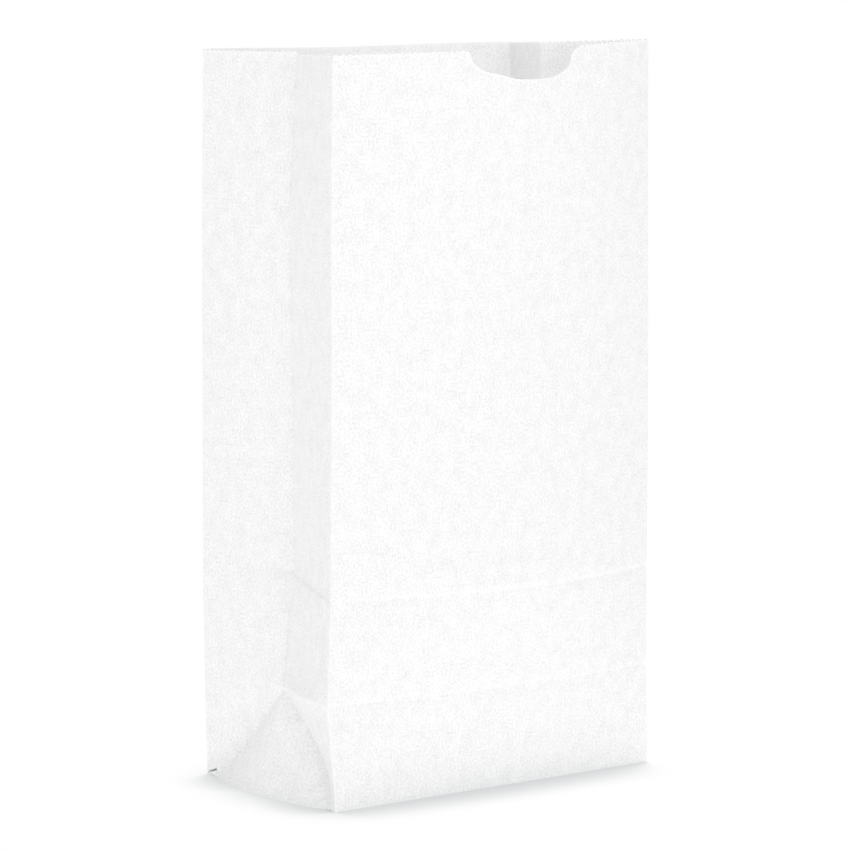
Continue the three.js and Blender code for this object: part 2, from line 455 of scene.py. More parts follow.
    def wall_at(self, along: float, level: float = 0.0) -> Wall:
        """The wall that a place on the sheet lies on; below the base crease only panels go on.

        Args:
            along: the place across the sheet's width.
            level: height above the base crease.

        Returns:
            The wall.
        """
        kinds = (Kind.PANEL,) if level < 0 else (Kind.SIDE, Kind.PANEL)
        walls = (wall for wall in self.walls if wall.kind in kinds and wall.holds(along))
        return next(walls, self.walls[-1])

    def stretch(self, wall: Wall) -> float:
        """The width of a wall between its upright folds."""
        return wall.width if wall.kind is Kind.PANEL else self.half_gusset

    @staticmethod
    def outward(first: Vector, second: Vector) -> Vector:
        """The level unit vector that points out of the bag across a stretch of wall."""
        return Vector((second.y - first.y, first.x - second.x, 0)).normalized()

    def panel_point(self, wall: Wall, share: float, level: float) -> Vector:
        """A place on a bowed panel, or below it on the flap folded from its foot.

        Args:
            wall: the panel.
            share: the share of the way from its first corner.
            level: height above the base crease; below it on the flap.

        Returns:
            The point, in millimetres.
        """
        section = self.section(max(level, 0.0))
        first, second = section.corners[wall.first], section.corners[wall.second]
        bow = section.depths[wall.depth]
        lean = bow * 4 * share * (1 - share)
        out = self.outward(first, second)
        point = first.lerp(second, share) + out * lean
        if wall.first is Corner.BACK_RIGHT:
            point.z -= self.back_dip * lean * lean / max(level, self.lower_crease)
        if level < 0:
            point += out * level
        return point

    def leg(self, wall: Wall, from_first: bool, level: float) -> Vector:
        """A place on the slanting crease from the foot of a side's corner to its apex.

        Args:
            wall: the side.
            from_first: whether the crease starts at the side's first corner.
            level: height above the base.

        Returns:
            The point, in millimetres.
        """
        rise = level / self.lower_crease
        section = self.section(level)
        first, second = section.corners[wall.first], section.corners[wall.second]
        corner, other = (first, second) if from_first else (second, first)
        tuck = self.section(self.lower_crease).depths[wall.depth]
        inward = tuck * (1 - (1 - rise) ** self.ear_power) + self.ear_sag * math.sin(math.pi * rise)
        flat = self.ear_width + (self.half_gusset - self.ear_width) * rise
        chord = (other - corner).normalized()
        run = math.sqrt(max(flat * flat - inward * inward, 0.0))
        if rise > self.apex_share:
            run = (other - corner).length / 2
            inward = tuck
        return corner + chord * run - self.outward(first, second) * inward

    def low_side_point(self, wall: Wall, distance: float, level: float) -> Vector:
        """A place on a side below its apex: the bulged triangle, or the facet beside a corner.

        Args:
            wall: the side.
            distance: the place across the side, from its first corner.
            level: height above the base.

        Returns:
            The point, in millimetres.
        """
        rise = level / self.lower_crease
        flat = self.ear_width + (self.half_gusset - self.ear_width) * rise
        from_first = distance <= self.half_gusset
        near = distance if from_first else wall.width - distance
        section = self.section(level)
        if near <= flat + TOLERANCE:
            corner = section.corners[wall.first if from_first else wall.second]
            point = corner.lerp(self.leg(wall, from_first, level), near / flat)
            out = self.outward(section.corners[wall.first], section.corners[wall.second])
            proud = self.facet_swell(distance, level) * (1 - near / flat)
            if wall is self.left and distance <= self.gap.reach:
                proud -= self.gap.depth_at(distance, level)
            return point + out * proud
        low, high = self.leg(wall, True, level), self.leg(wall, False, level)
        share = (distance - flat) / (wall.width - 2 * flat)
        first, second = section.corners[wall.first], section.corners[wall.second]
        tuck = self.section(self.lower_crease).depths[wall.depth]
        middle = -self.section(0.0).depths[wall.depth] * (1 - rise) - tuck * rise
        out = self.outward(first, second)
        sunk = -(low - first).dot(out)
        off = min(distance - flat, wall.width - flat - distance)
        bulge = (middle + sunk) * 4 * share * (1 - share)
        return low.lerp(high, share) + out * (bulge - self.leg_groove.depth_at(off, rise))

    def tuck(self, wall: Wall, distance: float, level: float) -> float:
        """How far a side's centre crease stands in, as the surface at a place on the side sees it.

        Args:
            wall: the side.
            distance: the place across the side, from its first corner.
            level: height above the base.

        Returns:
            The depth of the centre crease, in millimetres.
        """
        foot = self.section(self.lower_crease).depths[wall.depth]
        under = self.section(self.upper_crease).depths[wall.depth]
        over = self.section(max(level, self.body_start)).depths[wall.depth]
        rise = (level - self.lower_crease) / (self.upper_crease - self.lower_crease)
        low_value = foot + (under - foot) * min(rise, self.tuck_reach)
        off = abs(distance - self.half_gusset) / self.half_gusset
        low, high = self.step.span(off)
        soft = distance < self.half_gusset
        if soft:
            low, high = low - self.soft_fold * off, high + self.soft_fold * off
        share = min(max((level - low) / (high - low), 0.0), 1.0)
        if soft:
            share = share * share * (3 - 2 * share)
        return low_value + (over - low_value) * share

    def foot_height(self, wall: Wall, distance: float) -> float:
        """How far the foot of a side stands off the floor: over the flaps' ends at its corners.

        Args:
            wall: the side.
            distance: the place across the side, from its first corner.

        Returns:
            The least height of the paper there, in millimetres.
        """
        edge = min(distance, wall.width - distance)
        start, run = self.foot_edge
        clear = min(max((edge - start) / run, 0.0), 1.0)
        settled = clear * clear * (3 - 2 * clear)
        return min(3 * self.layer_gap, self.foot_slope * edge) * (1 - self.foot_settle * settled)

    def side_point(self, wall: Wall, distance: float, level: float) -> Vector:
        """A place on a gusseted side at a distance across it from its first corner.

        Args:
            wall: the side.
            distance: the place across the side, from its first corner.
            level: height above the base.

        Returns:
            The point, in millimetres.
        """
        if level < self.lower_crease - TOLERANCE:
            point = self.low_side_point(wall, distance, level)
            point.z = max(point.z, self.foot_height(wall, distance))
            return point
        section = self.section(level)
        first, second = section.corners[wall.first], section.corners[wall.second]
        out = self.outward(first, second)
        crease = (first + second) / 2 - out * self.tuck(wall, distance, level)
        share = distance / self.half_gusset
        if share <= 1:
            start, end, t = first, crease, share
        else:
            start, end, t = crease, second, share - 1
        grown = min(1.0, (level - self.lower_crease) / (self.body_start - self.lower_crease))
        bow = self.side_bow * grown * (1.0 if start is first else self.front_half_bow)
        proud = bow * 4 * t * (1 - t) + self.step.proud(share - 1, level)
        line = abs(distance - self.half_gusset)
        proud -= self.centre_line.depth_at(line, level, level >= self.body_start)
        proud += self.facet_swell(distance, level)
        return start.lerp(end, t) + self.outward(start, end) * proud

    def facet_swell(self, distance: float, level: float) -> float:
        """How far the paper stands proud along the fold from the apex to the front corner.

        Args:
            distance: the place across the side, from its first corner.
            level: height above the base.

        Returns:
            The distance off the side, in millimetres.
        """
        t = distance / self.half_gusset - 1
        off = level - self.lower_crease
        if t <= 0 or abs(off) > self.facet_reach:
            return 0.0
        above, below = self.facet_fades
        fade = off / above if off > 0 else -off / below
        return self.facet_ridge * 4 * t * (1 - t) * math.exp(-fade)

    def sharp_point(self, along: float, level: float) -> Vector:
        """Where a place on the sheet stands, with every fold still sharp.

        Args:
            along: the place across the sheet's width.
            level: height above the base crease.

        Returns:
            The point, in millimetres.
        """
        wall = self.wall_at(along, level)
        distance = along - wall.start
        if wall.kind is Kind.PANEL:
            return self.panel_point(wall, distance / wall.width, level)
        return self.side_point(wall, distance, level)

    def upright_folds(self) -> list[float]:
        """Where the sheet's upright folds lie along its width."""
        ends = (0.0, self.half_gusset, self.gusset_width)
        return [wall.start + end for wall in (self.left, self.right) for end in ends]

    def level_folds(self) -> tuple[float, ...]:
        """The heights of the sheet's level folds."""
        return (0.0, self.lower_crease, self.upper_crease)

    def radius_of(self, fold: float, level: float) -> float:
        """How far an upright fold's rounding reaches: wide in the gussets' soft centre creases.

        Args:
            fold: the fold's place across the sheet's width.
            level: height above the base.

        Returns:
            The reach to each side, in millimetres.
        """
        centres = (self.left.start + self.half_gusset, self.right.start + self.half_gusset)
        if fold not in centres or level < self.lower_crease:
            return self.fold_radius
        grown = min(1.0, (level - self.lower_crease) / self.gusset_growth)
        return self.fold_radius + (self.gusset_radius - self.fold_radius) * grown

    @staticmethod
    def eased(place: Callable[[float], Vector], at: float, fold: float, radius: float) -> Vector:
        """Rounds one sharp fold.

        Args:
            place: gives the sharp point for a coordinate across the fold.
            at: the coordinate asked for.
            fold: the fold's own coordinate.
            radius: how far the rounding reaches to each side.

        Returns:
            How far the point moves off the sharp fold.
        """
        off = abs(at - fold)
        if off >= radius:
            return Vector((0, 0, 0))
        peak = place(fold)
        before = (peak - place(fold - radius)) / radius
        after = (place(fold + radius) - peak) / radius
        return (after - before) * (radius - off) ** 2 / (4 * radius)

    def across_point(self, along: float, level: float) -> Vector:
        """Where a place on the sheet stands, with its upright folds rounded.

        Args:
            along: the place across the sheet's width.
            level: height above the base crease.

        Returns:
            The point, in millimetres.
        """
        point = self.sharp_point(along, level)
        if level < 0:
            return point
        for fold in self.upright_folds():
            radius = self.radius_of(fold, level)
            point += self.eased(lambda at: self.sharp_point(at, level), along, fold, radius)
        return point

    def pressed(self, along: float, level: float) -> float:
        """How deep the level creases are pressed into the front panel at a place on the sheet.

        Args:
            along: the place across the sheet's width.
            level: height above the base.

        Returns:
            The depth, in millimetres.
        """
        if not self.front.holds(along):
            return 0.0
        share = (along - self.front.start) / self.front.width
        return sum(crease.depth_at(share, level) for crease in self.panel_creases)

    def wave(self, along: float, level: float) -> float:
        """The slow unevenness of the paper, still at every fold.

        Args:
            along: the place across the sheet's width.
            level: height above the base.

        Returns:
            How far the paper stands out, in millimetres.
        """
        wall = self.wall_at(along)
        if level < 0:
            return 0.0
        distance = along - wall.start
        stretch = self.stretch(wall)
        edge = distance % stretch / stretch
        hold = (4 * edge * (1 - edge)) ** self.wave_hold * min(1.0, level / self.wave_foot)
        up = level / (self.wave_stretch * self.wave_length)
        place = Vector((along / self.wave_length, up, 3.7))
        share, finer = self.wave_detail
        slow = noise.noise(place) + share * noise.noise(place * finer)
        return self.wave_height * slow * hold

    def lap_lift(self, along: float) -> float:
        """How far the outer end of the sheet stands off where it laps over the inner end."""
        climb = (along - self.climb_end + self.seam_rise) / self.seam_rise
        return self.layer_gap * min(max(climb, 0.0), 1.0)

    def point(self, along: float, level: float) -> Vector:
        """Where a place on the sheet stands on the open bag.

        Args:
            along: place across the sheet's width, from the back left corner, in millimetres.
            level: height above the base crease; below it the sheet is folded under.

        Returns:
            The point on the sheet's outer face, in millimetres.
        """
        point = self.across_point(along, level)
        wall = self.wall_at(along, level)
        if wall.kind is Kind.PANEL or level > self.lower_crease - self.fold_radius:
            for fold in self.level_folds():
                if wall.kind is Kind.SIDE and fold != self.lower_crease:
                    continue
                point += self.eased(
                    lambda at: self.across_point(along, at), level, fold, self.fold_radius
                )
        lift = self.lap_lift(along)
        if level >= 0:
            section = self.section(level)
            out = self.outward(section.corners[wall.first], section.corners[wall.second])
            point += out * (self.wave(along, level) - self.pressed(along, level) + lift)
        if wall.kind is Kind.PANEL and wall.first is Corner.BACK_RIGHT:
            point.z = max(point.z, self.layer_gap + (lift if level < 0 else 0.0))
        return point


@dataclass
class Notch:
    """The thumb notch cut in the middle of the front panel's mouth, with its worn, uneven edge."""

    cut: tuple[tuple[float, float], ...] = (
        (-17.4, 0.0),
        (-16.6, 0.9),
        (-15.7, 2.9),
        (-12.4, 5.2),
        (-6.4, 6.7),
        (-0.5, 7.9),
        (8.6, 8.1),
        (12.6, 7.4),
        (17.0, 5.2),
        (17.9, 2.8),
        (18.9, 1.1),
        (21.4, 0.0),
    )
    roughness: float = 0.18

    def curve(self) -> list[tuple[float, float]]:
        """A smooth curve through the points of the cut.

        Returns:
            Offsets from the panel's middle and depths below the mouth, in millimetres.
        """
        ends = [self.cut[0], *self.cut, self.cut[-1]]
        places = []
        for before, start, end, after in zip(ends, ends[1:], ends[2:], ends[3:]):
            for t in np.linspace(0, 1, 24, endpoint=False):
                weights = (
                    -t / 2 + t * t - t**3 / 2,
                    1 - 5 * t * t / 2 + 3 * t**3 / 2,
                    t / 2 + 2 * t * t - 3 * t**3 / 2,
                    -t * t / 2 + t**3 / 2,
                )
                near = (before, start, end, after)
                x, depth = (sum(w * p[k] for w, p in zip(weights, near)) for k in (0, 1))
                places.append((x, max(depth, 0.0)))
        return [*places, self.cut[-1]]

    def outline(self, count: int) -> list[tuple[float, float]]:
        """Evenly spaced places along the cut, from its left end to its right end.

        Args:
            count: how many places.

        Returns:
            Offsets from the panel's middle and depths below the mouth, in millimetres.
        """
        xs, ys = (np.array(column) for column in zip(*self.curve()))
        run = np.concatenate([[0], np.cumsum(np.hypot(np.diff(xs), np.diff(ys)))])
        even = np.linspace(0, run[-1], count)
        return [(float(np.interp(r, run, xs)), float(np.interp(r, run, ys))) for r in even]


@dataclass
class SheetMesh:
    """Builds the sheet as one surface: walls with a saw-cut mouth, base flaps and folded sides."""

    form: BagForm
    notch: Notch = field(default_factory=Notch)
    rim_band: float = 6.0
    rim_shares: tuple[float, ...] = (0.3, 0.6, 0.82, 0.94, 1.0)
    rim_rise: float = 0.42
    rim_slump: float = 0.7
    tooth_wear: tuple[float, float] = (0.3, 0.8)
    tooth_unevenness: tuple[float, float] = (0.82, 0.3)
    rim_highlight: float = 0.35
    patch_floor: float = 186.0
    patch_reach: float = 24.0
    patch_clearance: float = 1.2
    slack: float = 0.1
    body_step: float = 4.0
    body_inset: float = 3.0
    body_rows: tuple[float, ...] = (0.0, 1.2)
    middle_step: float = 1.9
    middle_insets: tuple[float, float] = (4.2, 3.2)
    lap_clearance: float = 0.3
    lap_inset: float = 0.2
    climb_clearance: float = 0.12
    fold_columns: tuple[float, ...] = (0.15, 0.4)
    fold_rows: tuple[float, ...] = (0.16, 0.43, 0.95, 1.7, 2.6)
    warp_reach: tuple[float, float] = (9.0, 12.0)
    flap_rows: tuple[float, ...] = (0.15, 0.4, 1.2, 4, 10, 18, 26, 34)
    pocket_shares: tuple[float, ...] = (0.045, 0.16)
    fold_highlight_reach: float = 0.6
    sheet_margin: float = 60.0
    smooth_angle: float = 34.0

    def __post_init__(self) -> None:
        """Works out the columns and rows, and starts a mesh with the layers the finish reads."""
        form = self.form
        self.along = self.columns()
        self.foot_rows = self.low_levels()
        self.rows = self.levels()
        step = self.half_pitch(form.front)
        middle = form.front.start + form.half_width
        reach = round(self.patch_reach / step) * step
        self.patch = (middle - reach, middle + reach)
        self.grid: list[list[bmesh.types.BMVert]] = []
        self.flap_nodes: dict[tuple[int, float], bmesh.types.BMVert] = {}
        self.mesh = bmesh.new()
        self.uv = self.mesh.loops.layers.uv.new("sheet")
        # Masks for the painted highlights along the cut edges and the sharp folds.
        self.edge_highlight_layer = self.mesh.verts.layers.float.new("cut_edge_highlight")
        self.fold_highlight_layer = self.mesh.verts.layers.float.new("fold_highlight_and_wear")
        self.flat: dict[bmesh.types.BMVert, tuple[float, float]] = {}

    def half_pitch(self, wall: Wall) -> float:
        """Half a tooth, so that a whole number of teeth fits across a wall."""
        stretch = self.form.stretch(wall)
        return stretch / round(stretch / self.form.tooth_pitch) / 2

    def wall_columns(self, wall: Wall) -> list[float]:
        """Places across one wall: every half tooth, and closer beside each fold.

        Args:
            wall: the wall.

        Returns:
            Places across the sheet's width, in order.
        """
        step, stretch = self.half_pitch(wall), self.form.stretch(wall)
        places = [i * step for i in range(round(stretch / step) + 1)]
        places += [*self.fold_columns, *(stretch - n for n in self.fold_columns)]
        if wall.kind is Kind.SIDE:
            places += [self.form.ear_width + n for n in self.fold_columns]
            places += [wall.width - p for p in places]
        return sorted({round(wall.start + p, 5) for p in places})

    def columns(self) -> list[float]:
        """Every column of the sheet, from its inner edge at the lap round to its outer edge.

        Returns:
            Places across the sheet's width, in order.
        """
        form = self.form
        places: set[float] = set()
        for wall in form.walls:
            places.update(self.wall_columns(wall))
        clear, inset = self.lap_clearance, self.lap_inset
        keep = {p for p in places if form.lap_start + clear < p < form.lap_end - clear}
        climb = (form.climb_end - form.seam_rise, form.climb_end)
        keep = {p for p in keep if all(abs(p - c) > self.climb_clearance for c in climb)}
        edges = (form.lap_start, form.lap_start + inset, form.lap_end - inset, form.lap_end)
        keep.update(round(p, 5) for p in (*climb, *edges))
        return sorted(keep)

    def low_levels(self) -> list[float]:
        """Levels up to the lower crease, so that the slanting creases run through the nodes.

        Returns:
            Heights above the base, in order.
        """
        form = self.form
        ear, half = form.ear_width, form.half_gusset
        near = (place - form.left.start for place in self.wall_columns(form.left))
        across = [p for p in near if ear - ROUNDING <= p <= half + ROUNDING]
        return [round((p - ear) / (half - ear) * form.lower_crease, 5) for p in across]

    def levels(self) -> list[float]:
        """Every level of the walls below the mouth's teeth.

        Returns:
            Heights above the base, in order.
        """
        form = self.form
        rows = set(self.foot_rows)
        rows.update(form.lower_crease + f for f in self.fold_rows)
        rows.update(form.upper_crease + s * f for s in (-1, 1) for f in self.fold_rows)
        rows.update(form.body_start + f for f in self.body_rows)
        above, below = self.middle_insets
        middle = np.arange(form.lower_crease + above, form.upper_crease - below, self.middle_step)
        start, end = form.body_start + self.body_inset, form.height - self.rim_band
        body = np.linspace(start, end, round((end - start) / self.body_step))
        rows.update(float(r) for r in middle)
        rows.update(float(r) for r in body if abs(r - self.patch_floor) > self.patch_clearance)
        rows.add(self.patch_floor)
        return sorted({round(r, 5) for r in rows})

    def rim_level(self, along: float) -> float:
        """The height of the saw-cut edge at a place along the sheet.

        Args:
            along: the place across the sheet's width.

        Returns:
            The height above the base crease.
        """
        form = self.form
        wall = form.wall_at(along)
        turn = (along - wall.start) / (2 * self.half_pitch(wall)) % 1.0
        tooth = 1 - abs(2 * turn - 1)
        mean, swing = self.tooth_unevenness
        uneven = mean + swing * noise.noise(Vector((along * 0.9, *NoisePlace.TEETH.value)))
        wear_and_highlight = self.tooth_wear[0] if wall.first is Corner.BACK_RIGHT else self.tooth_wear[1]
        off = (along - form.left.start) / form.half_gusset
        slump = self.rim_slump * max(0.0, 2 - off) if 1.0 < off < 2.0 else 0.0
        return form.height + self.rim_rise - slump - wear_and_highlight * form.tooth_height * (1 - tooth * uneven)

    def warped(self, along: float, level: float) -> float:
        """A row's level at a column, so that rows follow the fold across a side and the gap.

        Args:
            along: the column's place on the sheet.
            level: the row's own level.

        Returns:
            The level at which the column's node lies.
        """
        form = self.form
        wall = form.wall_at(along)
        if wall.kind is Kind.PANEL:
            return level
        distance = along - wall.start
        if wall is form.left and distance < form.gap.reach and level in self.foot_rows[1:5]:
            middle, half = form.gap.middle(distance), form.gap.half_height
            lips = (middle - half, middle, middle + half, max(level, middle + 2 * half))
            return lips[self.foot_rows.index(level) - 1]
        low, high = form.step.span(abs(distance - form.half_gusset) / form.half_gusset)
        crease, thickness = form.upper_crease, form.step.corner_thickness
        bottom, top = crease - self.warp_reach[0], crease + self.warp_reach[1]
        if not bottom < level < top:
            return level
        rows = (bottom, crease, crease + thickness, top)
        return float(np.interp(level, rows, (bottom, low, high, top)))

    def node(self, along: float, level: float) -> bmesh.types.BMVert:
        """Adds a point of the sheet and notes where it lies on the flat paper.

        Args:
            along: the place across the sheet's width.
            level: height above the base crease.

        Returns:
            The new vertex.
        """
        point = self.form.point(along, level)
        vertex = self.mesh.verts.new(point * MM)
        self.flat[vertex] = (along, level)
        # The paler paint along the sharp folds: a painted highlight, with some worn fibres.
        vertex[self.fold_highlight_layer] = self.fold_highlight_and_wear(along, level)
        return vertex

    def fold_highlight_and_wear(self, along: float, level: float) -> float:
        """How near a place is to a sharp fold, from 0 to 1, where the paper is painted paler: a
        painted highlight along the fold, with some worn fibres.

        Args:
            along: the place across the sheet's width.
            level: height above the base crease.

        Returns:
            The share of the painted highlight and wear.
        """
        form = self.form
        corners = [wall.start + end for wall in form.walls[1:4] for end in (0.0, wall.width)]
        off = min(abs(along - corner) for corner in corners)
        if level < form.fold_radius:
            off = min(off, abs(level))
        if form.left.start + form.half_gusset < along < form.front.start:
            off = min(off, abs(level - form.lower_crease))
        return max(0.0, 1 - off / self.fold_highlight_reach)

    def face(self, corners: Iterable[bmesh.types.BMVert]) -> None:
        """Adds one face with its place on the flat paper as its UV.

        Args:
            corners: the face's vertices in order, of which two may be the same.
        """
        ring = list(dict.fromkeys(corners))
        if len(ring) < 3:
            return
        made = self.mesh.faces.new(ring)
        for loop in made.loops:
            loop[self.uv].uv = [(p + self.sheet_margin) / SHEET_MAP for p in self.flat[loop.vert]]

    def build_walls(self) -> None:
        """The four walls up to the teeth, but for the patch round the notch."""
        form, top = self.form, self.rows[-1]
        for along in self.along:
            rim = self.rim_level(along)
            inside = self.patch[0] + self.slack < along < self.patch[1] - self.slack
            levels = [r for r in self.rows if not inside or r <= self.patch_floor]
            column = [self.node(along, self.warped(along, level)) for level in levels]
            if not inside:
                column += [self.node(along, top + (rim - top) * f) for f in self.rim_shares]
                # The top row and the row below it are painted near white: a painted highlight along
                # the mouth's cut edge.
                column[-1][self.edge_highlight_layer] = 1.0
                column[-2][self.edge_highlight_layer] = self.rim_highlight
            self.grid.append(column)
        for i in range(len(self.along) - 1):
            first, second = self.grid[i], self.grid[i + 1]
            middle_along = (self.along[i] + self.along[i + 1]) / 2
            wall = form.wall_at(middle_along)
            rising = wall.kind is Kind.SIDE and middle_along - wall.start < form.half_gusset
            for j in range(min(len(first), len(second)) - 1):
                a, b, c, d = first[j], second[j], second[j + 1], first[j + 1]
                if wall.kind is Kind.PANEL or j >= len(self.foot_rows) - 1:
                    self.face((a, b, c, d))
                elif rising:
                    self.face((a, b, c))
                    self.face((a, c, d))
                else:
                    self.face((a, b, d))
                    self.face((b, c, d))

    def build_notch(self) -> None:
        """The patch of the front panel round the thumb notch."""
        form = self.form
        left, right = self.patch
        slack = self.slack
        inner = [i for i, p in enumerate(self.along) if left - slack <= p <= right + slack]
        floor_row = self.rows.index(self.patch_floor)
        outer = list(reversed(self.grid[inner[0]][floor_row + 1 :]))
        outer += [self.grid[i][floor_row] for i in inner]
        outer += self.grid[inner[-1]][floor_row + 1 :]
        cut = self.notch.outline(len(outer))
        middle = (left + right) / 2
        step = self.half_pitch(form.front)
        reach, half = (right - left) / 2, -self.notch.cut[0][0]
        stops = [s * step for s in range(math.ceil((half + slack) / step), round(reach / step))]
        shares = [0.0, *((s - half) / (reach - half) for s in stops), 1.0]
        rings: list[list[bmesh.types.BMVert]] = []
        for share in shares[:-1]:
            ring = []
            for k, (vertex, (x, depth)) in enumerate(zip(outer, cut)):
                place = Vector((k * 0.83, *NoisePlace.NOTCH.value))
                rough = self.notch.roughness * noise.noise(place) if share == 0 else 0.0
                start = (middle + x, form.height - depth + rough)
                end = self.flat[vertex]
                along = start[0] + (end[0] - start[0]) * share
                level = start[1] + (end[1] - start[1]) * share
                if k in (0, len(outer) - 1):
                    level = self.rim_level(along)
                made = self.node(along, level)
                # The notch's cut edge is painted near white: a painted highlight.
                made[self.edge_highlight_layer] = 1.0 if share == 0 or k in (0, len(outer) - 1) else 0.0
                ring.append(made)
            rings.append(ring)
        rings.append(outer)
        for inner_ring, outer_ring in zip(rings, rings[1:]):
            for k in range(len(outer) - 1):
                self.face((inner_ring[k], outer_ring[k], outer_ring[k + 1], inner_ring[k + 1]))

    def build_flaps(self) -> None:
        """The front and back flaps, folded under from the feet of their panels."""
        form = self.form
        reaches = (*self.flap_rows, form.flap_reach - 0.3, form.flap_reach)
        for i in range(len(self.along) - 1):
            wall = form.wall_at((self.along[i] + self.along[i + 1]) / 2)
            if wall.kind is Kind.SIDE:
                continue
            above = [self.grid[i][0], self.grid[i + 1][0]]
            for reach in reaches:
                below = [self.flap_node(i, reach), self.flap_node(i + 1, reach)]
                # The flaps' cut ends are painted near white: a painted highlight.
                if reach == reaches[-1]:
                    for vertex in below:
                        vertex[self.edge_highlight_layer] = 1.0
                self.face((below[0], below[1], above[1], above[0]))
                above = below

    def flap_node(self, column: int, reach: float) -> bmesh.types.BMVert:
        """A point of a base flap under one column, made once.

        Args:
            column: the column's number.
            reach: how far below the base crease the point lies.

        Returns:
            The vertex.
        """
        key = (column, reach)
        if key not in self.flap_nodes:
            self.flap_nodes[key] = self.node(self.along[column], -reach)
        return self.flap_nodes[key]

    def build_pockets(self) -> None:
        """The triangles folded in from the feet of the two sides, resting on the flaps inside."""
        form = self.form
        for wall in (form.left, form.right):
            foot = [self.grid[i][0] for i, p in enumerate(self.along) if wall.holds(p)]
            middle = (foot[0].co + foot[-1].co) / 2
            tip = middle + Vector((math.copysign(form.half_gusset * MM, -middle.x), 0, 0))
            tip.z = 3 * form.layer_gap * MM
            ring = foot
            for share in self.pocket_shares:
                inner = []
                for vertex in foot[1:-1]:
                    made = self.mesh.verts.new(vertex.co.lerp(tip, share))
                    made.co.z = tip.z
                    along, _ = self.flat[vertex]
                    self.flat[made] = (along, -share * form.half_gusset)
                    inner.append(made)
                inner = [inner[0], *inner, inner[-1]]
                for k in range(len(ring) - 1):
                    self.face((ring[k + 1], ring[k], inner[k], inner[k + 1]))
                ring = inner
            apex = self.mesh.verts.new(tip)
            self.flat[apex] = (wall.start + form.half_gusset, -form.half_gusset)
            self.face([*reversed(list(dict.fromkeys(ring))), apex])

    def finish(self, name: str) -> bpy.types.Object:
        """Turns the surface into an object of the paper's real thickness.

        Args:
            name: the object's name.

        Returns:
            The finished object, at the origin.
        """
        data = bpy.data.meshes.new(name)
        self.mesh.normal_update()
        self.mesh.to_mesh(data)
        self.mesh.free()
        piece = bpy.data.objects.new(name, data)
        bpy.context.scene.collection.objects.link(piece)
        bpy.ops.object.select_all(action="DESELECT")
        bpy.context.view_layer.objects.active = piece
        piece.select_set(True)
        wall = piece.modifiers.new("paper thickness", "SOLIDIFY")
        wall.thickness = self.form.thickness * MM
        wall.offset = -1
        bpy.ops.object.modifier_apply(modifier=wall.name)
        bpy.ops.object.mode_set(mode="EDIT")
        bpy.ops.mesh.select_all(action="SELECT")
        bpy.ops.mesh.quads_convert_to_tris()
        bpy.ops.object.mode_set(mode="OBJECT")
        bpy.ops.object.shade_smooth_by_angle(angle=math.radians(self.smooth_angle))
        return piece

    def build(self, name: str) -> bpy.types.Object:
        """Builds the whole sheet.

        Args:
            name: the object's name.

        Returns:
            The bag as one object.
        """
        self.build_walls()
        self.build_notch()
        self.build_flaps()
        self.build_pockets()
        return self.finish(name)


class NodeTree:
    """A short way to place and join the nodes of one material or world."""

    def __init__(self, owner: bpy.types.Material | bpy.types.World) -> None:
        """Clears the owner's nodes.

        Args:
            owner: the material or world.
        """
        owner.use_nodes = True
        self.tree = owner.node_tree
        self.tree.nodes.clear()

    def add(self, kind: str, inputs: dict[str | int, object], **settings: object) -> bpy.types.Node:
        """Adds a node, sets its options and feeds its inputs.

        Args:
            kind: the node's type name.
            inputs: a socket or a plain value for each input, by name or number.
            settings: the node's properties by name.

        Returns:
            The new node.
        """
        node = self.tree.nodes.new(kind)
        for name, value in settings.items():
            setattr(node, name, value)
        for key, value in inputs.items():
            if isinstance(value, bpy.types.NodeSocket):
                self.tree.links.new(value, node.inputs[key])
            else:
                node.inputs[key].default_value = value
        return node

    def maths(self, operation: str, *values: object) -> bpy.types.NodeSocket:
        """Adds a Math node on sockets or numbers, and gives its output."""
        return self.add("ShaderNodeMath", dict(enumerate(values)), operation=operation).outputs[0]

    def mix(self, factor: bpy.types.NodeSocket, first: object, second: object) -> bpy.types.NodeSocket:
        """Adds a Mix node between two colours, as sockets or values, and gives its output."""
        inputs = {"Factor": factor, "A": first, "B": second}
        return self.add("ShaderNodeMix", inputs, data_type="RGBA").outputs["Result"]


